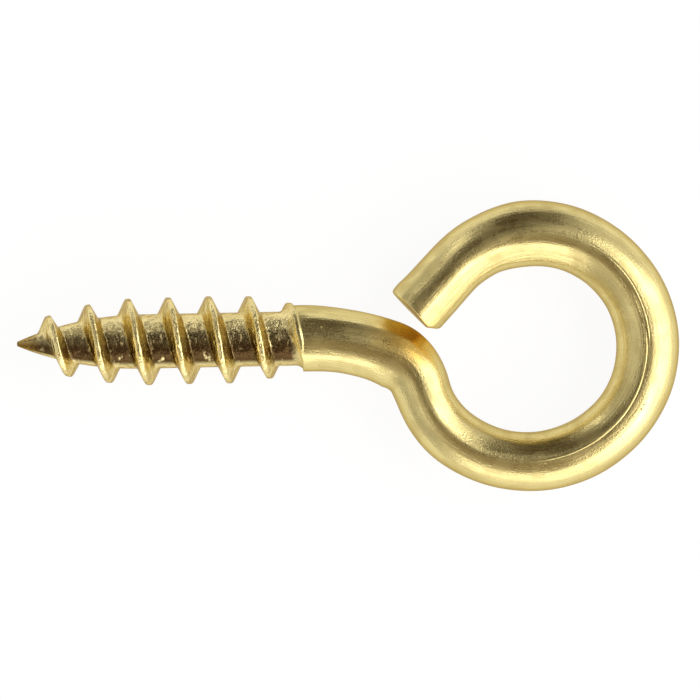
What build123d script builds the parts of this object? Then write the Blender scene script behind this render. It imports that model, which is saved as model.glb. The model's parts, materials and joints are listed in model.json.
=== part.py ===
"""Screw eye: one length of wire, threaded and pointed at one end and bent into an eye at the other.

The wire is first built with the screw's axis on X, its point at the origin and the eye lying
in the XY plane. The finished solid is then laid down on Z = 0 as it comes to rest: on one
crest of its thread and on the far side of its eye.
"""

from build123d import *
from math import atan2, ceil, cos, degrees, floor, radians, sin, sqrt, tan
import os

# ---- Driving dimensions, in millimetres and degrees ----

# Thread and point
root_dia = 3.3  # core between the ridges
ridge_height = 0.95  # from the core to the flanks' top, on the full thread
ridge_height_at_point = 0.76  # the same where the ridge leaves the point
ridge_base = 1.12  # ridge width at the core
crest_width = 0.30  # ridge width at the flanks' top
crest_rise = 0.05  # rounded crest above the flanks' top
thread_pitch = 2.445
first_crest = 1.85  # from the tip to the ridge's first crest on the +Y side
lead_in_turns = 0.62  # over which the ridge rises out of the point, before that crest
run_out_turns = 1.5  # over which the ridge fades
ridge_overrun = 0.25  # from the shoulder's top to the last of the fading ridge
ridge_height_at_shank = 0.34  # where the fading ridge is lost in the shank
point_length = 7.4  # tapered end of the core
tip_radius = 0.14  # blunt tip
thread_length = 16.5  # from the tip to the foot of the shoulder
shoulder_length = 0.75  # ramp from the core up to the plain shank

# Wire: its thickness square to the eye, and its width in the eye's plane, which the
# forming dies squeezed by different amounts
wire_thickness = 4.1
shank_dia = 4.05
lean_width = 3.90  # half way along the shank's lean
bend_width = 3.92  # where the sharp bend starts
throat_width = 3.48  # where the sharp bend ends
eye_start_width = 3.54
eye_low_width = 3.68
eye_far_width = 3.86
eye_top_width = 4.00
eye_end_width = 3.66
cut_width = 3.66

# Centre line of the plain wire: arcs that run on from the straight shank
lean_radius = 14.5  # slow sideways lean of the shank
lean_turn = 21.8
bend_radius = 2.91  # sharp bend at the eye's mouth
bend_turn = 50.6
throat_length = 0.74  # straight between the sharp bend and the eye
throat_radius = 5.40  # wire turns back towards the eye
throat_turn = 35.1
eye_low_radius = 7.42
eye_low_turn = 84.3
eye_radius = 6.82
eye_far_turn = 60.0
eye_top_turn = 75.0
eye_end_turn = 44.7

# Cut end of the wire
mouth_gap = 0.54  # between the cut end and the outside of the sharp bend
cut_skew = 3.0  # degrees off square, the side inside the eye being the longer
cut_round = 0.15  # rounded edge of the cut

# ---- Values worked out from them ----

root_radius = root_dia / 2
shank_start = thread_length + shoulder_length
point_rise = root_radius - tip_radius
ogive_radius = (point_length**2 + point_rise**2) / (2 * point_rise)
last_turn = (shank_start + ridge_overrun - first_crest) / thread_pitch  # turns from the first crest
full_turns = last_turn - run_out_turns  # turns from the first crest to where the ridge starts to fade
flank_run = (ridge_base - crest_width) / 2 / ridge_height  # sideways run of a flank for each mm of height
foot_share = 0.55  # the ridge's foot is let into the core to this share of its radius
ridge_bury = 0.12  # depth of the ridge's top inside the core where it starts
sections_per_turn = 12


def core_radius(x):
    """Radius of the core at x: a circular ogive over the point, then a cylinder."""
    run = max(point_length - x, 0)
    return root_radius - ogive_radius + sqrt(ogive_radius**2 - run**2)


def ridge_top(turn, x):
    """Height of the ridge's flanks above the core, so many turns after the first crest."""
    share = min(max(x / point_length, 0), 1)
    full = ridge_height_at_point + (ridge_height - ridge_height_at_point) * share
    lead_in = min((turn + lead_in_turns) / lead_in_turns, 1)
    fade = min(max((turn - full_turns) / run_out_turns, 0), 1)
    return (full + ridge_bury) * lead_in - ridge_bury - (ridge_height - ridge_height_at_shank) * fade


def ridge_plane(turn):
    """Plane through the axis, with its Y direction pointing out to the ridge."""
    angle = radians(360 * turn)
    outward = Vector(0, cos(angle), sin(angle))
    return Plane(origin=(0, 0, 0), x_dir=(1, 0, 0), z_dir=Vector(1, 0, 0).cross(outward))


def wire_plane(place, along):
    """Plane square to the wire, with its X direction along Z."""
    return Plane(origin=place, x_dir=(0, 0, 1), z_dir=along)


# ---- Centre line of the plain wire, from the shoulder to the end of the eye's arcs ----

with BuildLine(Plane.XY) as centre_line:
    lean = JernArc((shank_start, 0), (1, 0), lean_radius, -lean_turn)
    bend = JernArc(lean @ 1, lean % 1, bend_radius, -bend_turn)
    throat = PolarLine(bend @ 1, throat_length, direction=bend % 1)
    turn_back = JernArc(throat @ 1, throat % 1, throat_radius, throat_turn)
    eye_low = JernArc(turn_back @ 1, turn_back % 1, eye_low_radius, eye_low_turn)
    eye_far = JernArc(eye_low @ 1, eye_low % 1, eye_radius, eye_far_turn)
    eye_top = JernArc(eye_far @ 1, eye_far % 1, eye_radius, eye_top_turn)
    eye_end = JernArc(eye_top @ 1, eye_top % 1, eye_radius, eye_end_turn)

# The wire's width in the eye's plane, at a share of the way along an arc
widths = [
    (lean, 0.3, (shank_dia + lean_width) / 2),
    (lean, 0.6, lean_width),
    (lean, 1, bend_width),
    (bend, 1, throat_width),
    (throat, 1, throat_width),
    (turn_back, 1, eye_start_width),
    (eye_low, 1, eye_low_width),
    (eye_far, 1, eye_far_width),
    (eye_top, 1, eye_top_width),
    (eye_end, 1, eye_end_width),
]

# The wire's last stretch is straight. The corner of its cut inside the eye stops mouth_gap
# short of the circle that the outside of the sharp bend follows.
end_place = eye_end @ 1
end_along = (eye_end % 1).normalized()
end_inward = Vector(-end_along.Y, end_along.X, 0)
to_bend = bend.arc_center - end_place
beside = to_bend.dot(end_inward) - cut_width / 2
reach = bend_radius + (bend_width + throat_width) / 4 + mouth_gap
corner_length = to_bend.dot(end_along) - sqrt(reach**2 - beside**2)
cut_place = end_place + end_along * (corner_length - cut_width / 2 * tan(radians(cut_skew)))
cut_along = end_along.rotate(Axis.Z, -cut_skew)

# ---- The wire, threaded and bent, with its axis on X ----

with BuildPart() as wire:
    # core, point and shoulder
    with BuildSketch(Plane.XY):
        with BuildLine():
            ogive = RadiusArc((0, tip_radius), (point_length, root_radius), ogive_radius)
            Polyline(
                ogive @ 1,
                (thread_length, root_radius),
                (shank_start, shank_dia / 2),
                (shank_start, 0),
                (0, 0),
                ogive @ 0,
            )
        make_face()
    revolve(axis=Axis.X)

    # plain shank and eye
    with BuildSketch(wire_plane(lean @ 0, lean % 0)):
        Circle(shank_dia / 2)
    for arc, share, width in widths:
        with BuildSketch(wire_plane(arc @ share, arc % share)):
            Ellipse(wire_thickness / 2, width / 2)
    sweep(path=centre_line.line, multisection=True)

    # cut end
    with BuildSketch(wire_plane(end_place, end_along)):
        Ellipse(wire_thickness / 2, eye_end_width / 2)
    with BuildSketch(wire_plane(cut_place, cut_along)):
        Ellipse(wire_thickness / 2, cut_width / 2 / cos(radians(cut_skew)))
    loft()
    fillet(wire.faces().sort_by_distance(cut_place)[0].edges(), cut_round)

    # thread ridge, a turn at a time so that each length joins the core cleanly
    total_turns = lead_in_turns + last_turn
    lengths = ceil(total_turns)
    for length in range(lengths):
        for section in range(sections_per_turn + 1):
            turn = (length + section / sections_per_turn) * total_turns / lengths - lead_in_turns
            x = first_crest + thread_pitch * turn
            core = core_radius(x)
            foot = core * foot_share
            top = core + ridge_top(turn, x)
            half_crest = crest_width / 2
            half_foot = half_crest + flank_run * (top - foot)
            with BuildSketch(ridge_plane(turn)):
                with BuildLine():
                    Polyline(
                        (x + half_crest, top),
                        (x + half_foot, foot),
                        (x - half_foot, foot),
                        (x - half_crest, top),
                    )
                    ThreePointArc((x - half_crest, top), (x, top + crest_rise), (x + half_crest, top))
                make_face()
        loft()

# ---- The screw eye laid down as it comes to rest ----

# Its last full crest that faces down, and the far side of the eye, touch the ground together.
crest_turn = floor(full_turns + 0.25) - 0.25
crest_x = first_crest + thread_pitch * crest_turn
crest_drop = core_radius(crest_x) + ridge_top(crest_turn, crest_x) + crest_rise
far_x = eye_far.arc_center.X + eye_radius
lie_angle = degrees(atan2(crest_drop - wire_thickness / 2, far_x - crest_x))

with BuildPart() as tilted:
    add(wire.part, rotation=(0, lie_angle, 0))

footprint = tilted.part.bounding_box()
with BuildPart() as screw_eye:
    with Locations((-footprint.center().X, -footprint.center().Y, -footprint.min.Z)):
        add(tilted.part)

screw_eye.part.label = "screw_eye"

os.makedirs("parts", exist_ok=True)
export_step(screw_eye.part, "parts/screw_eye.step")
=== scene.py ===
"""A brass-plated screw eye: one length of steel wire, threaded and pointed, bent round into an eye.

The whole wire is one closed surface. It is worked out with numpy in the wire's own frame, where
the screw's axis is X, the tip is the origin and the eye lies in the XY plane, and it is then laid
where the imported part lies. Lengths in the wire's own frame are millimetres; the mesh is metres.
"""

import json
import logging
import math
from dataclasses import dataclass, field
from enum import Enum

import bpy
import numpy as np
from mathutils import Matrix, Vector

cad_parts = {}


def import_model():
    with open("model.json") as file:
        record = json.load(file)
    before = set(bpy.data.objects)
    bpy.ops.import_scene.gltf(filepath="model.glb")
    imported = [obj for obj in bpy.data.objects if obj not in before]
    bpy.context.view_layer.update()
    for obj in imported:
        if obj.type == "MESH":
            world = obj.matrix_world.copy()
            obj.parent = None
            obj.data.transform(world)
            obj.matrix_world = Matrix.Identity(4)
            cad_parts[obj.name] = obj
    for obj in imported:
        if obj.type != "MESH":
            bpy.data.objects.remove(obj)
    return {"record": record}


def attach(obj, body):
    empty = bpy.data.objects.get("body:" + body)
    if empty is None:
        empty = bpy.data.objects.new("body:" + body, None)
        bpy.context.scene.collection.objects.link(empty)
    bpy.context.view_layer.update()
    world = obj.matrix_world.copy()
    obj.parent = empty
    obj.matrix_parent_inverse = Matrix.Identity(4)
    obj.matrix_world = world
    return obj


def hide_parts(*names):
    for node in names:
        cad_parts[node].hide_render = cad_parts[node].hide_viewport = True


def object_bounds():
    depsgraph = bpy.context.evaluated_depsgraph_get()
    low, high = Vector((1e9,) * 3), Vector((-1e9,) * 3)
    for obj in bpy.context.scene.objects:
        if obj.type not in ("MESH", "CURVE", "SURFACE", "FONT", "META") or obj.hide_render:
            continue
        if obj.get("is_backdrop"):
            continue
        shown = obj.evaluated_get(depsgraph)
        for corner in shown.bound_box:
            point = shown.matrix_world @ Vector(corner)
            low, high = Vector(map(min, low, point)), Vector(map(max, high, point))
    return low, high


MM = 0.001
NEARLY_STRAIGHT = 1e-4  # degrees that stand in for a straight's turn
LOG = logging.getLogger("screw_eye")


def smooth(share: np.ndarray) -> np.ndarray:
    """Rise from 0 to 1 with level ends: 3t squared less 2t cubed."""
    t = np.clip(share, 0.0, 1.0)
    return t * t * (3 - 2 * t)


def bell(x: np.ndarray, centre: float, width: float) -> np.ndarray:
    """A bell of height 1 at its centre: e to the minus square of the distance over the width."""
    return np.exp(-(((x - centre) / width) ** 2))


@dataclass(frozen=True)
class Bend:
    """One stretch of the wire's centre line, which runs on from the stretch before it.

    Args:
        length: length along the centre line, in millimetres.
        turn: change of heading in degrees, anticlockwise seen from above.
    """

    length: float
    turn: float = 0.0

    @staticmethod
    def arc(radius: float, turn: float) -> "Bend":
        """A bend of the given radius in millimetres and turn in degrees."""
        return Bend(radius * abs(math.radians(turn)), turn)


@dataclass
class CentreLine:
    """The wire's centre line, as straights and tangent arcs that start at the tip along X."""

    bends: tuple[Bend, ...]

    @property
    def length(self) -> float:
        """Length of all the stretches together."""
        return sum(bend.length for bend in self.bends)

    def at(self, s: np.ndarray) -> tuple[np.ndarray, np.ndarray, np.ndarray]:
        """Follow the centre line.

        On an arc of curvature k that starts at heading h, a length t leads to a place
        (sin(h + kt) - sin h) / k along X and (cos h - cos(h + kt)) / k along Y from its start.
        A straight is an arc with next to no turn.

        Args:
            s: distances from the tip, in millimetres.

        Returns:
            X, Y and the heading in radians at each distance.
        """
        x, y, heading = np.zeros_like(s), np.zeros_like(s), np.zeros_like(s)
        along = s.copy()
        for bend in self.bends:
            last = bend is self.bends[-1]
            t = np.maximum(along, 0) if last else np.clip(along, 0, bend.length)
            curvature = math.radians(bend.turn or NEARLY_STRAIGHT) / bend.length
            x = x + (np.sin(heading + curvature * t) - np.sin(heading)) / curvature
            y = y + (np.cos(heading) - np.cos(heading + curvature * t)) / curvature
            heading = heading + curvature * t
            along = along - bend.length
        return x, y, heading


@dataclass(frozen=True)
class Nick:
    """A knock on the thread's crest, bell-shaped along the helix.

    Args:
        turn: turns from the first crest to its middle.
        width: turns over which it fades to each side.
        share: share of the ridge's height that is lost at its middle.
    """

    turn: float
    width: float
    share: float


@dataclass
class Thread:
    """The rolled wood thread and its gimlet point, as a radius over (x, angle), in millimetres.

    Args:
        core_radius: radius of the core between the ridges.
        ridge_height: height of the full ridge above the core.
        ridge_height_at_point: the same where the ridge leaves the point.
        half_base: half the ridge's width at the core.
        half_crest: half its width at the flanks' top.
        crest_rise: height of the rounded crest above the flanks' top.
        fillet: softness of the hollow at the ridge's foot.
        crest_round: softness of the crest's edges.
        pitch: advance with each turn.
        first_crest: x of the first full crest, on the +Y side.
        lead_in_turns: turns over which the ridge rises before that crest.
        full_turns: turns from that crest to where the ridge starts to fade.
        run_out_turns: turns over which it fades.
        ridge_height_at_shank: its height where it ends.
        point_length: length of the tapered end of the core.
        tip_radius: radius of the blunt tip.
        length: distance from the tip to the end of the thread.
        shoulder_length: length of the ramp from the core up to the shank.
        shoulder_lead: how far before the thread's end the ramp's foot lies.
        shoulder_skew: how far along the wire the foot moves to each side of that.
        shank_radius: radius of the plain shank.
        slow_roll: share of the height in the slow unevenness of the rolling.
        slow_rate: radians of its sine in each turn.
        quick_roll: share of the height in the quick unevenness.
        quick_rate: radians of its sine in each turn.
        quick_start: radians of its sine at the first crest.
        nicks: knocks on the crest.
    """

    core_radius: float = 1.65
    ridge_height: float = 0.97
    ridge_height_at_point: float = 0.76
    half_base: float = 0.60
    half_crest: float = 0.15
    crest_rise: float = 0.045
    fillet: float = 0.075
    crest_round: float = 0.035
    pitch: float = 2.437
    first_crest: float = 1.85
    lead_in_turns: float = 0.45
    full_turns: float = 4.9
    run_out_turns: float = 1.5
    ridge_height_at_shank: float = 0.34
    point_length: float = 7.4
    tip_radius: float = 0.13
    length: float = 16.5
    shoulder_length: float = 0.75
    shoulder_lead: float = 0.15
    shoulder_skew: float = 0.52
    shank_radius: float = 2.025
    slow_roll: float = 0.012
    slow_rate: float = 5.1
    quick_roll: float = 0.010
    quick_rate: float = 11.7
    quick_start: float = 1.0
    nicks: tuple[Nick, ...] = (
        Nick(turn=1.44, width=0.10, share=0.08),
        Nick(turn=2.93, width=0.06, share=0.05),
        Nick(turn=1.21, width=0.02, share=0.11),
        Nick(turn=1.285, width=0.018, share=0.09),
    )

    @property
    def shank_start(self) -> float:
        """X where the plain shank begins."""
        return self.length + self.shoulder_length

    @property
    def ramp_foot(self) -> float:
        """X of the shoulder's foot, before it is skewed."""
        return self.length - self.shoulder_lead

    def core(self, x: np.ndarray) -> np.ndarray:
        """Radius of the core: a circular ogive over the point, then a cylinder.

        Args:
            x: distance from the tip.

        Returns:
            The core's radius.
        """
        rise = self.core_radius - self.tip_radius
        ogive = (self.point_length**2 + rise**2) / (2 * rise)
        run = np.maximum(self.point_length - x, 0)
        return self.core_radius - ogive + np.sqrt(ogive**2 - run**2)

    def shoulder(self, x: np.ndarray, angle: np.ndarray) -> np.ndarray:
        """Radius of the ramp up to the shank, which starts sooner where the ridge fades into it.

        Args:
            x: distance from the tip.
            angle: angle round the axis from +Y towards +Z, in radians.

        Returns:
            The core's radius inside the ramp's foot, the shank's beyond its top.
        """
        foot = self.ramp_foot - self.shoulder_skew * np.cos(angle)
        ramp = smooth((x - foot) / self.shoulder_length)
        return self.core_radius + (self.shank_radius - self.core_radius) * ramp

    def ridge(self, x: np.ndarray, angle: np.ndarray) -> np.ndarray:
        """Height of the ridge above the core.

        The ridge's centre follows a right-hand helix. Its height falls off with the distance
        from that centre: a rounded crest, straight flanks and a small hollow fillet at the foot.

        Args:
            x: distance from the tip.
            angle: angle round the axis from +Y towards +Z, in radians.

        Returns:
            The ridge's height, 0 between its turns.
        """
        turns = (x - self.first_crest) / self.pitch - angle / (2 * math.pi)
        whole = np.round(turns)
        off = (turns - whole) * self.pitch
        turn = whole + angle / (2 * math.pi)
        share = np.clip(x / self.point_length, 0, 1)
        full = self.ridge_height_at_point + (self.ridge_height - self.ridge_height_at_point) * share
        lead_in = np.clip(1 + turn / self.lead_in_turns, 0, 1)
        fade = np.clip((turn - self.full_turns) / self.run_out_turns, 0, 1)
        height = full * lead_in - (self.ridge_height - self.ridge_height_at_shank) * fade
        height = np.where(turn > self.full_turns + self.run_out_turns, 0, height) * self.wear(turn)
        slope = self.ridge_height / (self.half_base - self.half_crest)
        line = height - slope * (np.abs(off) - self.half_crest)
        filleted = self.fillet * np.logaddexp(0, line / self.fillet)
        top = height + self.crest_rise * np.clip(height / self.ridge_height, 0, 1)
        rounded = top - self.crest_round * np.logaddexp(0, (top - filleted) / self.crest_round)
        return np.where(height > 0, np.maximum(rounded, 0), 0)

    def wear(self, turn: np.ndarray) -> np.ndarray:
        """Share of the ridge's height left by uneven rolling, a slow and a quick sine, and by knocks.

        Args:
            turn: turns from the first crest.

        Returns:
            The share, near 1.
        """
        slow = self.slow_roll * np.sin(turn * self.slow_rate)
        left = 1 + slow + self.quick_roll * np.sin(turn * self.quick_rate + self.quick_start)
        for nick in self.nicks:
            left = left - nick.share * bell(turn, nick.turn, nick.width)
        return left

    def radius(self, x: np.ndarray, angle: np.ndarray) -> np.ndarray:
        """Radius of the threaded end: whichever stands out more, the ridge or the shoulder.

        Args:
            x: distance from the tip.
            angle: angle round the axis, in radians.

        Returns:
            The surface's radius.
        """
        ridged = self.core(x) + self.ridge(x, angle)
        beyond_foot = x > self.ramp_foot - self.shoulder_skew
        return np.where(beyond_foot, np.maximum(ridged, self.shoulder(x, angle)), ridged)


@dataclass(frozen=True)
class Flat:
    """A flat pressed along the wire by a forming die, with soft edges.

    Args:
        start: distance from the tip where it begins, in millimetres.
        end: distance from the tip where it ends.
        facing: direction it faces, in degrees from the in-plane normal towards Z.
        depth: how far the section is pressed in, in millimetres.
        lead: length over which it deepens from nothing at each end.
        softness: least softness of its edges, in millimetres.
        spread: further softness, as a share of its depth.
    """

    start: float
    end: float
    facing: float
    depth: float
    lead: float
    softness: float = 0.02
    spread: float = 0.2

    def press(
        self, s: np.ndarray, half: tuple[np.ndarray, np.ndarray], across: np.ndarray, up: np.ndarray
    ) -> tuple[np.ndarray, np.ndarray]:
        """Press the section in along the direction that the flat faces.

        A point's reach in that direction is held below the flat by a soft minimum, a logarithm
        of a sum of exponentials.

        Args:
            s: distance from the tip.
            half: the section's half width and half thickness.
            across: the section's in-plane offset.
            up: the section's offset along Z.

        Returns:
            The changed offsets.
        """
        face_across, face_up = math.cos(math.radians(self.facing)), math.sin(math.radians(self.facing))
        support = np.hypot(half[0] * face_across, half[1] * face_up)
        share = smooth((s - self.start) / self.lead) * smooth((self.end - s) / self.lead)
        over = across * face_across + up * face_up - (support - self.depth * share)
        soft = self.softness + self.spread * self.depth * share
        push = soft * np.logaddexp(0, over / soft) * share
        return across - push * face_across, up - push * face_up


@dataclass
class Cut:
    """The sheared end of the wire.

    Args:
        skew: degrees that the cut is off square, the side inside the eye being the longer.
        rounding: radius of its worn edge, in millimetres.
        flare: how far the shears squeezed the wire's outer side out, in millimetres.
        flare_back: distance from the cut to the flare's middle.
        flare_width: length over which the flare fades to each side.
        bevel: slope of the bevel on the side inside the eye.
        bevel_from: distance from the middle where that bevel starts, in millimetres.
        reach: length of wire over which the cut's slope runs out.
        rows: rows of the grid from its rounded edge to its middle.
        edge_rows: rows of the grid round the worn edge.
    """

    skew: float = 3.0
    rounding: float = 0.16
    flare: float = 0.05
    flare_back: float = 0.6
    flare_width: float = 0.45
    bevel: float = 0.7
    bevel_from: float = 1.2
    reach: float = 2.5
    rows: int = 9
    edge_rows: int = 6


@dataclass(frozen=True)
class Unevenness:
    """How far the plain wire's surface stands out of its true section, in millimetres.

    Args:
        slow_wave: height of the slow waves along the wire.
        slow_rate: radians of them in each millimetre.
        quick_wave: height of the quick waves.
        quick_rate: radians of them in each millimetre.
        fade: length past the shoulder over which the waves rise.
        bulge: how far the sharp bend squeezed its inner side out.
        bulge_start: distance from the tip where the bulge begins.
        bulge_rise: length over which it rises.
        bulge_end: distance from the tip where it has run out.
        bulge_fall: length over which it runs out.
        hollow: how far the eye's outer side is pressed in near its top.
        hollow_at: distance from the tip to the hollow's middle.
        hollow_width: length over which the hollow fades to each side.
        let_in: how far the whole surface is let in, so that no wave passes through the floor.
        radius: the wire's plain radius, which turns these heights into a scale.
    """

    slow_wave: float = 0.008
    slow_rate: float = 0.9
    quick_wave: float = 0.003
    quick_rate: float = 2.3
    fade: float = 1.5
    bulge: float = 0.14
    bulge_start: float = 21.4
    bulge_rise: float = 2.2
    bulge_end: float = 26.9
    bulge_fall: float = 2.6
    hollow: float = 0.08
    hollow_at: float = 50.8
    hollow_width: float = 3.0
    let_in: float = 0.009
    radius: float = 2.0

    def waves(self, s: np.ndarray, angle: np.ndarray) -> np.ndarray:
        """Two sines along the wire, shifted round the section by 2 sin a and by 3 a."""
        slow = self.slow_wave * np.sin(s * self.slow_rate + 2 * np.sin(angle))
        return slow + self.quick_wave * np.sin(s * self.quick_rate + 3 * angle)

    def squeezed(self, s: np.ndarray) -> np.ndarray:
        """How far the wire's right side, which is the bend's inner and the eye's outer one, stands out.

        Args:
            s: distance from the tip.

        Returns:
            The bulge less the hollow.
        """
        rise = smooth((s - self.bulge_start) / self.bulge_rise)
        fall = smooth((self.bulge_end - s) / self.bulge_fall)
        return self.bulge * rise * fall - self.hollow * bell(s, self.hollow_at, self.hollow_width)


@dataclass(frozen=True)
class Stain:
    """Where the plating is thin and amber: outside the sharp bend, and a little at the tip.

    Args:
        start: distance from the tip where it begins, in millimetres.
        rise: length over which it rises.
        end: distance from the tip where it has run out.
        fall: length over which it runs out.
        facing: direction it faces, in degrees from the in-plane normal towards Z.
        side_start: cosine of the angle off that direction at which it begins.
        side_rise: change of that cosine over which it rises.
        tip: its strength at the tip.
        tip_length: length of the tip that it covers.
        tip_fall: length over which it runs out there.
    """

    start: float = 20.4
    rise: float = 2.6
    end: float = 25.0
    fall: float = 1.2
    facing: float = 15.0
    side_start: float = -0.1
    side_rise: float = 0.8
    tip: float = 0.35
    tip_length: float = 1.6
    tip_fall: float = 1.2

    def mask(self, s: np.ndarray, angle: np.ndarray) -> np.ndarray:
        """Strength of the stain.

        Args:
            s: distance from the tip.
            angle: angle round the section.

        Returns:
            The mask, 0 where there is no stain.
        """
        facing = np.cos(angle - math.radians(self.facing))
        outside = smooth((facing - self.side_start) / self.side_rise)
        neck = smooth((s - self.start) / self.rise) * smooth((self.end - s) / self.fall)
        return neck * outside + self.tip * smooth((self.tip_length - s) / self.tip_fall)


@dataclass(frozen=True)
class RootShade:
    """Painted shade in the thread's roots, which leaves their +Y side light, and a darker tip.

    A place round the core is given by the cosine of its angle: 1 on the +Y side, -1 on the other.

    Args:
        start: cosine where the painted shade begins.
        thick_start: cosine where it starts to thicken.
        rise: change of cosine over which each of the two sets in.
        thick: share of the painted shade that comes with the thickening.
        end: cosine where it has run out.
        fall: change of cosine over which it runs out.
        tip: its strength at the tip.
        tip_length: length of the tip that it covers, in millimetres.
        tip_fall: length over which it runs out there.
    """

    start: float = 0.5
    thick_start: float = 0.1
    rise: float = 0.4
    thick: float = 0.2
    end: float = -0.92
    fall: float = 0.18
    tip: float = 0.7
    tip_length: float = 1.9
    tip_fall: float = 1.4

    def mask(self, s: np.ndarray, angle: np.ndarray) -> np.ndarray:
        """Strength of the painted shade in a root.

        Args:
            s: distance from the tip.
            angle: angle round the section.

        Returns:
            The mask, 0 where the root is left light.
        """
        facing = np.cos(angle)
        thin = (1 - self.thick) * smooth((self.start - facing) / self.rise)
        thick = self.thick * smooth((self.thick_start - facing) / self.rise)
        around = (thin + thick) * smooth((facing - self.end) / self.fall)
        return np.maximum(around, self.tip * smooth((self.tip_length - s) / self.tip_fall))


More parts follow.
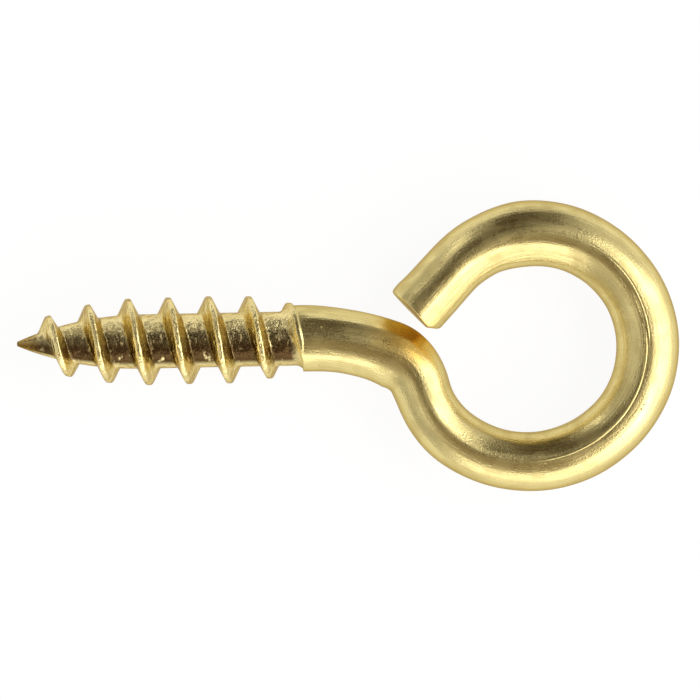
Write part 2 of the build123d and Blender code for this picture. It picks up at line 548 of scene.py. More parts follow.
@dataclass
class Wire:
    """The threaded and bent wire, as one closed surface. Lengths are millimetres.

    Args:
        thread: the threaded end.
        cut: the sheared end.
        uneven: the plain wire's unevenness.
        stain: its amber stain.
        root_shade: the painted shade in the thread's roots.
        thickness: the wire's thickness square to the eye.
        lean: the shank's slow sideways lean.
        sharp_bend: the bend at the eye's mouth.
        throat: the straight after it.
        turn_back: the turn back towards the eye.
        eye_low: the eye's flatter arc.
        eye_round: the eye's rounder arc.
        eye_end: the straight to the cut.
        widths: the wire's width in the eye's plane, which the forming dies squeezed by different
            amounts: at the shoulder, half way along the lean, at the ends of the lean, the sharp
            bend, the throat, the turn back and the eye's flatter arc, at the eye's far side and
            top, a little before and at the end of its rounder arc, and at the cut.
        far_share: share of the eye's rounder arc up to its far side.
        top_share: share of that arc up to its top.
        narrowing: length before the arc's end where the wire has narrowed.
        flats: flats left by the forming dies.
        oval_run: length over which the round shank becomes as thick as the eye.
        thread_end_run: length over which the thread's finish goes over to the plain wire's.
        columns: points of the grid round the wire.
        first_row: distance from the tip to the grid's first row.
        thread_step: distance between its rows over the thread.
        wire_step: distance between its rows over the plain wire.
        past_shoulder: how far past the shoulder the thread's rows run on.
        join: how far past the shoulder the thread's radius holds.
    """

    thread: Thread = field(default_factory=Thread)
    cut: Cut = field(default_factory=Cut)
    uneven: Unevenness = field(default_factory=Unevenness)
    stain: Stain = field(default_factory=Stain)
    # painted shade in the thread's roots
    root_shade: RootShade = field(default_factory=RootShade)
    thickness: float = 4.1
    lean: Bend = Bend.arc(14.5, -21.8)
    sharp_bend: Bend = Bend.arc(2.91, -50.6)
    throat: Bend = Bend(0.74)
    turn_back: Bend = Bend.arc(5.40, 35.1)
    eye_low: Bend = Bend.arc(7.42, 84.3)
    eye_round: Bend = Bend.arc(6.82, 179.7)
    eye_end: Bend = Bend(3.518)
    widths: tuple[float, ...] = (4.05, 3.92, 3.92, 3.50, 3.46, 3.54, 3.70, 3.86, 4.02, 3.72, 3.62, 3.66)
    far_share: float = 0.35
    top_share: float = 0.76
    narrowing: float = 2.0
    flats: tuple[Flat, ...] = (
        Flat(start=45.0, end=80.0, facing=50.0, depth=0.12, lead=9.0),
        Flat(start=25.5, end=33.5, facing=68.0, depth=0.05, lead=2.5),
        Flat(start=16.6, end=25.0, facing=31.0, depth=0.09, lead=1.2),
        Flat(start=17.0, end=22.5, facing=145.0, depth=0.05, lead=1.2),
    )
    oval_run: float = 2.0
    thread_end_run: float = 0.6
    columns: int = 128
    first_row: float = 0.03
    thread_step: float = 0.05
    wire_step: float = 0.165
    past_shoulder: float = 0.3
    join: float = 0.02

    @property
    def centre_line(self) -> CentreLine:
        """The wire's centre line from the tip to the cut.

        Returns:
            The straight shank and the stretches after it.
        """
        shank = Bend(self.thread.shank_start)
        bends = (shank, self.lean, self.sharp_bend, self.throat)
        return CentreLine(bends + (self.turn_back, self.eye_low, self.eye_round, self.eye_end))

    def stations(self) -> np.ndarray:
        """Distances from the tip at which the widths hold.

        Returns:
            One distance for each width.
        """
        stretches = (self.lean, self.sharp_bend, self.throat, self.turn_back, self.eye_low)
        ends = self.thread.shank_start + np.cumsum([0.0] + [bend.length for bend in stretches])
        low_end, round_length = ends[-1], self.eye_round.length
        round_end = low_end + round_length
        lean_middle = ends[0] + self.lean.length / 2
        far_side, top = low_end + self.far_share * round_length, low_end + self.top_share * round_length
        last = [far_side, top, round_end - self.narrowing, round_end, round_end + self.eye_end.length]
        return np.concatenate([ends[:1], [lean_middle], ends[1:], last])

    def width(self, s: np.ndarray) -> np.ndarray:
        """Width between two stations: it changes from one's to the next's with level ends.

        Args:
            s: distance from the tip.

        Returns:
            The wire's width in the eye's plane.
        """
        stations, widths = self.stations(), np.array(self.widths)
        after = np.clip(np.searchsorted(stations, s), 1, len(stations) - 1)
        share = (s - stations[after - 1]) / (stations[after] - stations[after - 1])
        return widths[after - 1] + (widths[after] - widths[after - 1]) * smooth(share)

    def rows(self) -> np.ndarray:
        """Distances from the tip of the grid's rows, close together over the thread.

        Returns:
            The distances, up to where the cut's worn edge begins.
        """
        end = self.centre_line.length
        past = self.thread.shank_start + self.past_shoulder
        threaded = np.arange(self.first_row, past, self.thread_step)
        count = int((end - threaded[-1]) / self.wire_step)
        plain = np.linspace(threaded[-1], end - self.cut.rounding, count)
        return np.concatenate([threaded, plain[1:]])

    def surface(self) -> dict[str, np.ndarray]:
        """Carry the wire's section along its centre line.

        A point at angle a round the section is the centre plus (half width) cos a along the
        in-plane normal, plus (half thickness) sin a along Z. Over the thread both halves are the
        thread's radius there. The last rows turn in over the cut's rounded edge to its middle.

        Returns:
            Grids over (row, column): "place" in millimetres, "unbent" place in the straightened
            wire, and masks for the "thread", the "cut", the "stain" and the painted shade in the
            thread's "root".
        """
        rows = self.rows()
        turn_in = np.linspace(0, math.pi / 2, self.cut.edge_rows)[1:]
        edge_s = rows[-1] + self.cut.rounding * np.sin(turn_in)
        s = np.concatenate([rows, edge_s, np.full(self.cut.rows, edge_s[-1])])
        row_s = s[:, None]
        edge_inset = self.cut.rounding * (1 - np.cos(turn_in))
        face_inset = np.full(self.cut.rows, edge_inset[-1])
        inset = np.concatenate([np.zeros(len(rows)), edge_inset, face_inset])[:, None]
        shrink = np.linspace(1, 0, self.cut.rows + 1)[1:]
        scale = np.concatenate([np.ones(len(s) - self.cut.rows), shrink])[:, None]
        angle = np.arange(self.columns) * 2 * math.pi / self.columns
        angle = np.broadcast_to(angle, (len(s), self.columns))

        radius = self.thread.shank_radius
        half_width = self.width(s)[:, None] / 2
        oval = smooth((row_s - self.thread.shank_start) / self.oval_run)
        half_thick = radius + (self.thickness / 2 - radius) * oval
        threaded = self.thread.radius(row_s, angle)
        on_thread = row_s < self.thread.shank_start + self.join
        across = np.where(on_thread, threaded, half_width - inset) * np.cos(angle)
        up = np.where(on_thread, threaded, half_thick - inset) * np.sin(angle)
        for flat in self.flats:
            across, up = flat.press(row_s, (half_width, half_thick), across, up)
        grow = self.growth(row_s, angle) * scale
        across, up = across * grow, up * grow

        x, y, heading = self.centre_line.at(s)
        along = across * math.tan(math.radians(self.cut.skew))
        along = along - self.cut.bevel * np.maximum(across - self.cut.bevel_from, 0)
        along = along * smooth(1 - (edge_s[-1] - row_s) / self.cut.reach)
        cos_h, sin_h = np.cos(heading)[:, None], np.sin(heading)[:, None]
        place_x = x[:, None] + along * cos_h - across * sin_h
        place_y = y[:, None] + along * sin_h + across * cos_h
        ridge = self.thread.ridge(row_s, angle) / self.thread.ridge_height
        thread = 1 - smooth((row_s - self.thread.length) / self.thread_end_run)
        between_ridges = 1 - np.clip(2 * ridge, 0, 1)
        return {
            "place": np.stack([place_x, place_y, up], axis=-1),
            "unbent": np.stack([np.broadcast_to(row_s, across.shape), across, up], axis=-1),
            "thread": np.broadcast_to(thread, across.shape),
            "cut": np.broadcast_to(smooth((row_s - rows[-1]) / self.cut.rounding), across.shape),
            "stain": self.stain.mask(row_s, angle),
            # painted shade: the thread's roots are masked dark, except on their +Y side, and at the tip
            "root": self.root_shade.mask(row_s, angle) * thread * between_ridges,
        }

    def growth(self, s: np.ndarray, angle: np.ndarray) -> np.ndarray:
        """How much larger the section is for the wire's unevenness: 1 and the height over the radius.

        Args:
            s: distance from the tip.
            angle: angle round the section.

        Returns:
            The scale of the section's offsets.
        """
        plain = smooth((s - self.thread.shank_start) / self.uneven.fade)
        outer_side = np.clip(-np.cos(angle), 0, 1)
        flare_at = self.centre_line.length - self.cut.flare_back
        flare = self.cut.flare * bell(s, flare_at, self.cut.flare_width)
        height = self.uneven.waves(s, angle) + (flare + self.uneven.squeezed(s)) * outer_side
        return 1 + (plain * height - self.uneven.let_in) / self.uneven.radius

    def build(self, lie: Matrix) -> bpy.types.Object:
        """Make the wire's mesh and lay it down.

        Args:
            lie: turns and moves the wire's own frame, in metres, to where the part lies.

        Returns:
            The wire's object, with its masks as attributes.
        """
        grids = self.surface()
        place = grids["place"]
        count, columns = place.shape[:2]
        tip = np.array([[0.0, 0.0, 0.0]])
        points = np.concatenate([tip, place.reshape(-1, 3)[: (count - 1) * columns], place[-1, :1]])
        turned = np.array(lie.to_3x3())
        points = points * MM @ turned.T + np.array(lie.translation)

        grid = np.arange((count - 1) * columns).reshape(count - 1, columns) + 1
        ahead = np.roll(grid, -1, axis=1)
        quads = np.stack([grid[:-1], ahead[:-1], ahead[1:], grid[1:]], axis=-1).reshape(-1, 4)
        pole = len(points) - 1
        start = np.stack([np.zeros(columns, int), ahead[0], grid[0]], axis=-1)
        end = np.stack([np.full(columns, pole), grid[-1], ahead[-1]], axis=-1)
        loops = np.concatenate([quads.ravel(), start.ravel(), end.ravel()])
        sizes = np.concatenate([np.full(len(quads), 4), np.full(2 * columns, 3)])

        mesh = bpy.data.meshes.new("screw_eye_wire")
        mesh.vertices.add(len(points))
        mesh.vertices.foreach_set("co", points.astype(np.float32).ravel())
        mesh.loops.add(len(loops))
        mesh.loops.foreach_set("vertex_index", loops.astype(np.int32))
        mesh.polygons.add(len(sizes))
        starts = np.concatenate([[0], np.cumsum(sizes)[:-1]])
        mesh.polygons.foreach_set("loop_start", starts.astype(np.int32))
        mesh.polygons.foreach_set("use_smooth", np.ones(len(sizes), bool))
        mesh.update(calc_edges=True)
        mesh.validate()

        for name in ("unbent", "thread", "cut", "stain", "root"):
            self.store(mesh, name, grids[name])
        wire = bpy.data.objects.new("screw_eye_wire", mesh)
        bpy.context.scene.collection.objects.link(wire)
        return wire

    @staticmethod
    def store(mesh: bpy.types.Mesh, name: str, grid: np.ndarray) -> None:
        """Write a grid to the mesh as an attribute on its points.

        The tip takes the first row's first value, and the middle of the cut the last row's.

        Args:
            mesh: the wire's mesh.
            name: the attribute's name.
            grid: a number, or a vector of three, for each row and column.
        """
        values = grid.reshape(*grid.shape[:2], -1)
        rows = values[:-1].reshape(-1, values.shape[-1])
        values = np.concatenate([values[0, :1], rows, values[-1, :1]])
        kind, key = ("FLOAT", "value") if values.shape[1] == 1 else ("FLOAT_VECTOR", "vector")
        attribute = mesh.attributes.new(name, kind, "POINT")
        attribute.data.foreach_set(key, values.astype(np.float32).ravel())


class Graph:
    """A node tree with short calls for adding and linking nodes."""

    def __init__(self, tree: bpy.types.NodeTree) -> None:
        """Start an empty tree.

        Args:
            tree: the material's or group's tree; what it holds is removed.
        """
        tree.nodes.clear()
        self.tree = tree

    def add(self, kind: str, inputs: dict | None = None, **settings: object) -> bpy.types.Node:
        """Add a node.

        Args:
            kind: the node's type, such as ShaderNodeMath.
            inputs: socket name or number to a value, or to an output socket to link from.
            settings: properties of the node.

        Returns:
            The new node.
        """
        node = self.tree.nodes.new(kind)
        for name, value in settings.items():
            setattr(node, name, value)
        for key, value in (inputs or {}).items():
            self.put(node.inputs[key], value)
        return node

    def maths(self, kind: str, a: object, b: object = 0.0, clamp: bool = False) -> object:
        """Join two values with a Math node.

        Args:
            kind: the Math node's operation.
            a: first value or output socket.
            b: second value or output socket.
            clamp: keep the result between 0 and 1.

        Returns:
            The result's socket.
        """
        node = self.add("ShaderNodeMath", {0: a, 1: b}, operation=kind, use_clamp=clamp)
        return node.outputs[0]

    def plus(self, a: object, b: object, clamp: bool = False) -> object:
        """The sum of two values, kept between 0 and 1 on request."""
        return self.maths("ADD", a, b, clamp)

    def times(self, a: object, b: object) -> object:
        """The product of two values."""
        return self.maths("MULTIPLY", a, b)

    def ramp(self, value: object, low: object, high: object) -> object:
        """A smooth step of a value.

        Args:
            value: the value's socket.
            low: the value that gives 0.
            high: the value that gives 1.

        Returns:
            The step's socket.
        """
        inputs = {"Value": value, "From Min": low, "From Max": high}
        node = self.add("ShaderNodeMapRange", inputs, interpolation_type="SMOOTHSTEP")
        return node.outputs["Result"]

    def attribute(self, name: str, output: str) -> object:
        """An output of the wire's attribute of the given name."""
        return self.add("ShaderNodeAttribute", attribute_name=name).outputs[output]

    def group(self, tree: bpy.types.NodeTree, inputs: dict[str, object]) -> object:
        """The one output of a node group that is given its named inputs."""
        return self.add("ShaderNodeGroup", inputs, node_tree=tree).outputs[0]

    def bump(self, height: object, distance: object, normal: object = None) -> object:
        """Bend a normal.

        Args:
            height: the height's socket.
            distance: metres that a height of 1 stands for.
            normal: the normal to start from; without one, the surface's own.

        Returns:
            The bent normal's socket.
        """
        inputs = {"Height": height, "Distance": distance, "Strength": 1.0}
        if normal is not None:
            inputs["Normal"] = normal
        return self.add("ShaderNodeBump", inputs).outputs["Normal"]

    def mix(self, share: object, a: object, b: object) -> object:
        """A colour that a share of 0 to 1 takes from the first colour to the second."""
        return self.add("ShaderNodeMix", {0: share, 6: a, 7: b}, data_type="RGBA").outputs[2]

    def put(self, socket: bpy.types.NodeSocket, value: object) -> None:
        """Link a value's output socket to an input, or set it as a constant.

        Args:
            socket: the input.
            value: an output socket or a constant.
        """
        if isinstance(value, bpy.types.NodeSocket):
            self.tree.links.new(value, socket)
        else:
            socket.default_value = value


def effect_group(name: str, inputs: dict[str, float], outputs: tuple[str, ...]) -> Graph:
    """Start a shader node group that reads the straightened wire's place.

    Args:
        name: the group's name.
        inputs: names and default values of its number inputs.
        outputs: names of its number outputs.

    Returns:
        The group's graph, whose nodes are still to be added.
    """
    tree = bpy.data.node_groups.new(name, "ShaderNodeTree")
    tree.interface.new_socket("Place", in_out="INPUT", socket_type="NodeSocketVector")
    for key, value in inputs.items():
        socket = tree.interface.new_socket(key, in_out="INPUT", socket_type="NodeSocketFloat")
        socket.default_value = value
    for key in outputs:
        tree.interface.new_socket(key, in_out="OUTPUT", socket_type="NodeSocketFloat")
    return Graph(tree)


def drawn_grain() -> bpy.types.NodeTree:
    """Fine streaks along the wire, from the drawing die: noise stretched along its length.

    Returns:
        The node group, whose output is Grain.
    """
    graph = effect_group("drawn_grain", {"Fineness": 9.0, "Stretch": 0.03}, ("Grain",))
    given = graph.add("NodeGroupInput")
    parts = graph.add("ShaderNodeSeparateXYZ", {0: given.outputs["Place"]})
    along = graph.times(parts.outputs[0], given.outputs["Stretch"])
    place = graph.add("ShaderNodeCombineXYZ", {0: along, 1: parts.outputs[1], 2: parts.outputs[2]})
    inputs = {"Vector": place.outputs[0], "Scale": given.outputs["Fineness"], "Detail": 4.0}
    noise = graph.add("ShaderNodeTexNoise", inputs)
    graph.add("NodeGroupOutput", {"Grain": noise.outputs["Fac"]})
    return graph.tree


def pitting() -> bpy.types.NodeTree:
    """Scattered small pits: near the middles of a share of Voronoi cells, which noise has bent.

    Returns:
        The node group, whose output is Pits.
    """
    bend = 0.25
    soft_edge = 0.08
    graph = effect_group("pitting", {"Scale": 3.0, "Share": 0.3, "Size": 0.16}, ("Pits",))
    given = graph.add("NodeGroupInput")
    inputs = {"Vector": given.outputs["Place"], "Scale": 1.5, "Detail": 3.0}
    noise = graph.add("ShaderNodeTexNoise", inputs).outputs["Color"]
    shift = graph.add("ShaderNodeVectorMath", {0: noise, 1: (bend, bend, bend)}, operation="MULTIPLY")
    inputs = {0: given.outputs["Place"], 1: shift.outputs[0]}
    place = graph.add("ShaderNodeVectorMath", inputs, operation="ADD")
    inputs = {"Vector": place.outputs[0], "Scale": given.outputs["Scale"]}
    cells = graph.add("ShaderNodeTexVoronoi", inputs)
    near = graph.maths("SUBTRACT", given.outputs["Size"], cells.outputs["Distance"])
    chosen = graph.maths("LESS_THAN", cells.outputs["Color"], given.outputs["Share"])
    graph.add("NodeGroupOutput", {"Pits": graph.times(graph.ramp(near, 0.0, soft_edge), chosen)})
    return graph.tree


def cloud() -> bpy.types.NodeTree:
    """Soft patches for tarnish and scuffs: noise with its middle range stretched out.

    Returns:
        The node group, whose output is Mask.
    """
    graph = effect_group("cloud", {"Scale": 0.6, "Low": 0.45, "High": 0.65}, ("Mask",))
    given = graph.add("NodeGroupInput")
    inputs = {"Vector": given.outputs["Place"], "Scale": given.outputs["Scale"], "Detail": 5.0}
    noise = graph.add("ShaderNodeTexNoise", inputs).outputs["Fac"]
    mask = graph.ramp(noise, given.outputs["Low"], given.outputs["High"])
    graph.add("NodeGroupOutput", {"Mask": mask})
    return graph.tree


@dataclass(frozen=True)
class Effects:
    """The node groups that the finishes share."""

    grain: bpy.types.NodeTree
    pits: bpy.types.NodeTree
    cloud: bpy.types.NodeTree

    @staticmethod
    def make() -> "Effects":
        """Build each group once."""
        return Effects(drawn_grain(), pitting(), cloud())


@dataclass(frozen=True)
class Score:
    """A fine raised line left along the wire by a forming tool.

    Args:
        start: distance from the tip where it begins, in millimetres.
        end: distance from the tip where it ends.
        across_start: its in-plane offset where it begins, towards the inside of the eye.
        across_end: the same where it ends.
        half_width: half its width.
        height: its height, in metres; a sunk line has a negative height.
        wander: how far the grain makes it wander.
        fade: length over which it fades at each end.
        top_fade: offset along Z over which it fades in from the wire's side to its top.
    """

    start: float
    end: float
    across_start: float
    across_end: float
    half_width: float
    height: float
    wander: float = 0.12
    fade: float = 2.0
    top_fade: float = 0.5

    def mask(self, graph: Graph, place: object, grain: object) -> object:
        """A mask that is 1 along the line and 0 beside it.

        Args:
            graph: the material's graph.
            place: place in the straightened wire.
            grain: the drawn grain.

        Returns:
            The mask's socket.
        """
        along, across, up = graph.add("ShaderNodeSeparateXYZ", {0: place}).outputs
        inputs = {
            "Value": along,
            "From Min": self.start,
            "From Max": self.end,
            "To Min": self.across_start,
            "To Max": self.across_end,
        }
        straight = graph.add("ShaderNodeMapRange", inputs).outputs["Result"]
        middle = graph.plus(straight, graph.times(grain, self.wander))
        off = graph.maths("ABSOLUTE", graph.maths("SUBTRACT", across, middle))
        near = graph.ramp(off, 2 * self.half_width, 0.0)
        begun = graph.ramp(along, self.start, self.start + self.fade)
        unfinished = graph.ramp(along, self.end, self.end - self.fade)
        span = graph.times(graph.times(begun, unfinished), graph.ramp(up, 0.0, self.top_fade))
        return graph.times(near, span)


@dataclass(frozen=True)
class Look:
    """How one stretch of the plating looks.

    Args:
        roughness: its roughness.
        spread: how much rougher its worst patches are.
        grain: depth of the drawn grain, in metres.
        texture: depth of the fine unevenness left by the tools, in metres.
        dull: share of the dull colour in its worst patches.
    """

    roughness: float
    spread: float
    grain: float
    texture: float
    dull: float


@dataclass(frozen=True)
class PlatedBrass:
    """Brass plating over drawn steel wire: satin on the plain wire, brighter on the thread, where it is
    both shinier and given a lighter colour as painted light.

    Args:
        name: the material's name.
        colour: the plating's colour on the drawn wire.
        rolled: its colour on the rolled thread, lighter than on the drawn wire as painted light on the
            flanks.
        dull: colour of its tarnished patches.
        root: the dark colour painted into the thread's roots as shade.
        amber: colour where the plating is thin.
        edge: tint where it is seen at a grazing angle.
        plain: look of the drawn wire.
        thread: look of the rolled thread.
        streaks: grain at which a streak of tarnish starts and is full.
        streak_share: share of the streaks in the tarnish; the rest is patches.
        patchy_shade: lumpiness at which the roots' painted shade starts and is full.
        cut_roughness: how much rougher the cut is.
        amber_share: share of the amber where the stain is strongest.
        pit_depth: depth of the pits, in metres.
        lump_depth: depth of the lumps that the rolls left on the thread, in metres.
        scores: fine lines along the wire.
    """

    name: str
    colour: tuple[float, float, float, float]
    rolled: tuple[float, float, float, float]
    dull: tuple[float, float, float, float]
    root: tuple[float, float, float, float]
    amber: tuple[float, float, float, float]
    edge: tuple[float, float, float, float]
    plain: Look
    thread: Look
    streaks: tuple[float, float]
    streak_share: float
    patchy_shade: tuple[float, float]
    cut_roughness: float
    amber_share: float
    pit_depth: float
    lump_depth: float
    scores: tuple[Score, ...]

    def material(self, effects: Effects) -> bpy.types.Material:
        """Build the finish.

        Args:
            effects: the shared node groups.

        Returns:
            The material.
        """
        material = bpy.data.materials.new(self.name)
        material.use_nodes = True
        graph = Graph(material.node_tree)
        place = graph.attribute("unbent", "Vector")
        threaded = graph.attribute("thread", "Fac")

        grain = graph.group(effects.grain, {"Place": place, "Fineness": 6.0, "Stretch": 0.05})
        speckle = graph.group(effects.grain, {"Place": place, "Fineness": 12.0, "Stretch": 0.7})
        lumps = graph.group(effects.grain, {"Place": place, "Fineness": 1.5, "Stretch": 1.6})
        pits = graph.group(effects.pits, {"Place": place, "Scale": 2.6, "Share": 0.12, "Size": 0.16})
        patches = graph.group(effects.cloud, {"Place": place, "Scale": 0.9, "Low": 0.42, "High": 0.7})

        def by_part(plain: float, thread: float) -> object:
            """A value of the plain wire that goes over to the thread's."""
            return graph.plus(graph.times(threaded, thread - plain), plain)

        wire, rolled = self.plain, self.thread
        streaks = graph.times(graph.ramp(grain, *self.streaks), self.streak_share)
        uneven = graph.plus(streaks, graph.times(patches, 1 - self.streak_share))
        spread = graph.times(uneven, by_part(wire.spread, rolled.spread))
        rough = graph.plus(spread, by_part(wire.roughness, rolled.roughness))
        rough = graph.plus(rough, graph.times(graph.attribute("cut", "Fac"), self.cut_roughness))

        tarnish = graph.times(uneven, by_part(wire.dull, rolled.dull))
        # Painted shade: the thread's roots take the dark root colour in lumps.
        root = graph.times(graph.attribute("root", "Fac"), graph.ramp(lumps, *self.patchy_shade))
        amber = graph.times(graph.attribute("stain", "Fac"), self.amber_share)
        # Painted light: the thread's colour is lighter than the drawn wire's, to brighten its flanks.
        base = graph.mix(threaded, self.colour, self.rolled)
        base = graph.mix(graph.plus(tarnish, pits, clamp=True), base, self.dull)
        base = graph.mix(root, base, self.root)
        base = graph.mix(amber, base, self.amber)

        normal = graph.bump(grain, by_part(wire.grain, rolled.grain))
        normal = graph.bump(speckle, by_part(wire.texture, rolled.texture), normal)
        normal = graph.bump(lumps, graph.times(threaded, self.lump_depth), normal)
        normal = graph.bump(pits, -self.pit_depth, normal)
        for score in self.scores:
            normal = graph.bump(score.mask(graph, place, grain), score.height, normal)
        inputs = {"Base Color": base, "Metallic": 1.0, "Roughness": rough, "Normal": normal}
        shader = graph.add("ShaderNodeBsdfPrincipled", inputs | {"Specular Tint": self.edge})
        graph.add("ShaderNodeOutputMaterial", {"Surface": shader.outputs["BSDF"]})
        return material


PLATING = PlatedBrass(
    name="plated_wire_brass",
    colour=(0.83, 0.70, 0.31, 1),
    # rolled is lighter than colour as painted light on the thread's flanks
    rolled=(0.94, 0.79, 0.38, 1),
    dull=(0.50, 0.38, 0.14, 1),
    # root is painted shade for the thread's roots
    root=(0.09, 0.052, 0.020, 1),
    amber=(0.74, 0.43, 0.06, 1),
    edge=(0.50, 0.40, 0.28, 1),
    plain=Look(roughness=0.22, spread=0.16, grain=0.000018, texture=0.000014, dull=0.5),
    thread=Look(roughness=0.17, spread=0.14, grain=0.000004, texture=0.000012, dull=0.35),
    streaks=(0.35, 0.65),
    streak_share=0.4,
    patchy_shade=(0.25, 0.42),
    cut_roughness=0.15,
    amber_share=0.75,
    pit_depth=0.00004,
    lump_depth=0.00016,
    scores=(
        Score(33.5, 47.5, across_start=0.0, across_end=0.25, half_width=0.035, height=0.000030),
        Score(43.0, 50.0, across_start=0.35, across_end=0.15, half_width=0.05, height=-0.000020),
        Score(44.5, 52.0, across_start=0.0, across_end=-0.1, half_width=0.04, height=-0.000015),
    ),
)


class Side(Enum):
    """Where a softbox stands round the object, as an azimuth in degrees from +X towards +Y."""

    RIGHT = 0.0
    HIGH_RIGHT = 32.0
    BACK_RIGHT = 50.0
    BACK = 90.0
    BACK_LEFT = 135.0
    LEFT = 180.0
    FRONT_LEFT = -135.0
    FRONT = -90.0
    FRONT_RIGHT = -45.0


@dataclass(frozen=True)
class Softbox:
    """A rectangular area lamp that faces the object.

    Args:
        side: where it stands.
        high: degrees from straight up to its upper edge.
        low: degrees from straight up to its lower edge.
        half_width: half the angle it spans sideways, in degrees.
        radiance: brightness of its face, where 1 looks white.
        tint: its colour.
        distance: metres from the object.
        aim: how far along X from the object's middle it faces, in metres.
    """

    side: Side
    high: float
    low: float
    half_width: float
    radiance: float
    tint: tuple[float, float, float] = (1.0, 1.0, 1.0)
    distance: float = 0.4
    aim: float = 0.0

    def build(self, centre: Vector) -> None:
        """Add the lamp. Its energy is its brightness times pi times its area.

        Args:
            centre: the object's centre, in metres.
        """
        name = "softbox_" + self.side.name.lower()
        lamp = bpy.data.lights.new(name, "AREA")
        lamp.shape = "RECTANGLE"
        lamp.color = self.tint
        lamp.size = 2 * self.distance * math.tan(math.radians(self.half_width))
        lamp.size_y = 2 * self.distance * math.tan(math.radians((self.low - self.high) / 2))
        lamp.energy = self.radiance * math.pi * lamp.size * lamp.size_y
        tilt, azimuth = math.radians((self.high + self.low) / 2), math.radians(self.side.value)
        level = math.sin(tilt)
        away = Vector((level * math.cos(azimuth), level * math.sin(azimuth), math.cos(tilt)))
        holder = bpy.data.objects.new(name, lamp)
        holder.location = centre + Vector((self.aim, 0, 0)) + away * self.distance
        holder.rotation_euler = (-away).to_track_quat("-Z", "Y").to_euler()
        bpy.context.scene.collection.objects.link(holder)


@dataclass(frozen=True)
class Studio:
    """The floor, the softboxes, the world and the camera.

    Args:
        softboxes: the lamps.
        world: colour of the dim room round the object.
        floor_size: side of the floor, in metres.
        floor_grey: how light the floor is under the lamps.
        floor_glow: brightness of the plain white that the camera and the metal see on the floor.
        glow_share: share of that white; the rest keeps the object's shadow.
        lens: the camera's focal length, in millimetres.
        sensor: width of its sensor, in millimetres.
        near: nearest distance that it sees, in metres.
        far: farthest distance that it sees.
        frame_width: width of its picture at the object, in millimetres.
        aside: how far it stands off the object's centre, in metres.
        roll: how far it is turned about its line of sight, in degrees.
    """

    softboxes: tuple[Softbox, ...]
    world: tuple[float, float, float, float]
    floor_size: float = 3.0
    floor_grey: float = 0.9
    floor_glow: float = 1.04
    glow_share: float = 0.88
    lens: float = 200.0
    sensor: float = 36.0
    near: float = 0.005
    far: float = 5.0
    frame_width: float = 42.33
    aside: tuple[float, float] = (0.00008, -0.00004)
    roll: float = -1.153

    def build(self, low: Vector, high: Vector) -> None:
        """Put the studio round the object.

        Args:
            low: lowest corner of the object's box.
            high: highest corner of the object's box.
        """
        centre = (low + high) / 2
        self.floor(low.z)
        for softbox in self.softboxes:
            softbox.build(centre)
        world = bpy.data.worlds.new("studio")
        world.use_nodes = True
        graph = Graph(world.node_tree)
        shader = graph.add("ShaderNodeBackground", {"Color": self.world, "Strength": 1.0})
        graph.add("ShaderNodeOutputWorld", {"Surface": shader.outputs[0]})
        bpy.context.scene.world = world
        bpy.context.scene.view_settings.view_transform = "Standard"
        self.camera(centre)

    def floor(self, height: float) -> None:
        """Lay the white floor. Seen by the camera or in the metal it is close to plain white.

        Args:
            height: the floor's height, in metres.
        """
        half = self.floor_size / 2
        square = ((-half, -half), (half, -half), (half, half), (-half, half))
        mesh = bpy.data.meshes.new("floor")
        mesh.from_pydata([(x, y, height) for x, y in square], [], [(0, 1, 2, 3)])
        material = bpy.data.materials.new("floor_white")
        material.use_nodes = True
        graph = Graph(material.node_tree)
        grey = (self.floor_grey, self.floor_grey, self.floor_grey, 1)
        lit = graph.add("ShaderNodeBsdfDiffuse", {"Color": grey})
        white = graph.add("ShaderNodeEmission", {"Color": (1, 1, 1, 1), "Strength": self.floor_glow})
        path = graph.add("ShaderNodeLightPath").outputs
        direct = graph.plus(path["Is Camera Ray"], path["Is Glossy Ray"])
        direct = graph.plus(direct, path["Is Transmission Ray"], clamp=True)
        share = graph.times(direct, self.glow_share)
        shader = graph.add("ShaderNodeMixShader", {0: share, 1: lit.outputs[0], 2: white.outputs[0]})
        graph.add("ShaderNodeOutputMaterial", {"Surface": shader.outputs[0]})
        mesh.materials.append(material)
        floor = bpy.data.objects.new("floor", mesh)
        bpy.context.scene.collection.objects.link(floor)
        floor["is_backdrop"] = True

    def camera(self, centre: Vector) -> None:
        """Look straight down on the object, turned a little so that its axis rises to the right.

        Args:
            centre: the object's centre, in metres.
        """
        data = bpy.data.cameras.new("camera")
        data.lens = self.lens
        data.sensor_width = self.sensor
        data.clip_start, data.clip_end = self.near, self.far
        camera = bpy.data.objects.new("camera", data)
        distance = self.frame_width * MM * self.lens / self.sensor
        camera.location = centre + Vector((*self.aside, distance))
        camera.rotation_euler = (0, 0, math.radians(self.roll))
        bpy.context.scene.collection.objects.link(camera)
        bpy.context.scene.camera = camera


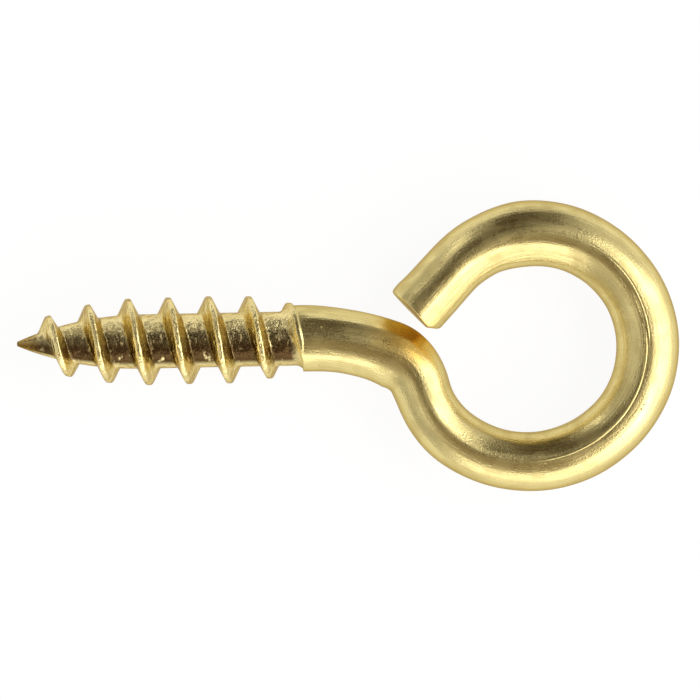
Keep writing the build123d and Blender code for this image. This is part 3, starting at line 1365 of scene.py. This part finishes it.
STUDIO = Studio(
    softboxes=(
        Softbox(Side.RIGHT, high=26, low=95, half_width=30, radiance=2.4),
        Softbox(Side.FRONT_RIGHT, high=46, low=95, half_width=16, radiance=2.2),
        Softbox(Side.FRONT, high=54, low=95, half_width=26, radiance=1.8),
        Softbox(Side.HIGH_RIGHT, high=14, low=48, half_width=9, radiance=0.9),
        Softbox(Side.BACK_RIGHT, high=48, low=92, half_width=15, radiance=0.6),
        Softbox(Side.LEFT, high=22, low=95, half_width=26, radiance=0.6),
        Softbox(Side.FRONT_LEFT, high=34, low=95, half_width=16, radiance=0.45),
        Softbox(Side.BACK_LEFT, high=40, low=95, half_width=14, radiance=0.36),
        Softbox(Side.FRONT, high=2, low=54, half_width=30, radiance=0.19, tint=(1.0, 0.8, 0.55)),
        Softbox(Side.BACK, high=48, low=78, half_width=7, radiance=1.7, distance=0.045, aim=-0.015),
    ),
    world=(0.055, 0.039, 0.020, 1),
)


def lie_of(record: dict, wire: Wire) -> Matrix:
    """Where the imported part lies, from its mounts.

    The thread mount stands at the start of the shank and points to the tip. The eye mount
    points square out of the eye.

    Args:
        record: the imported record.
        wire: the wire, for its thread's length.

    Returns:
        The matrix from the wire's own frame, in metres, to the part's.
    """
    mounts = {mount["name"]: mount for mount in record["mounts"]}
    along = -Vector(mounts["thread"]["axis"]).normalized()
    up = Vector(mounts["eye"]["axis"]).normalized()
    side = up.cross(along).normalized()
    tip = Vector(mounts["thread"]["pos_m"]) - along * wire.thread.shank_start * MM
    turned = Matrix((along, side, up)).transposed()
    return Matrix.Translation(tip) @ turned.to_4x4()


def main() -> None:
    """Build the wire and its finish, light it and set the camera."""
    logging.basicConfig(level=logging.INFO, format="%(name)s: %(message)s")
    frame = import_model()
    cad_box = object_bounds()
    effects = Effects.make()

    wire = Wire()
    piece = wire.build(lie_of(frame["record"], wire))
    piece.data.materials.append(PLATING.material(effects))
    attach(piece, "root")
    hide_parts("screw_eye")
    LOG.info("%s: %d vertices", piece.name, len(piece.data.vertices))

    STUDIO.build(*cad_box)


if __name__ == "__main__":
    main()
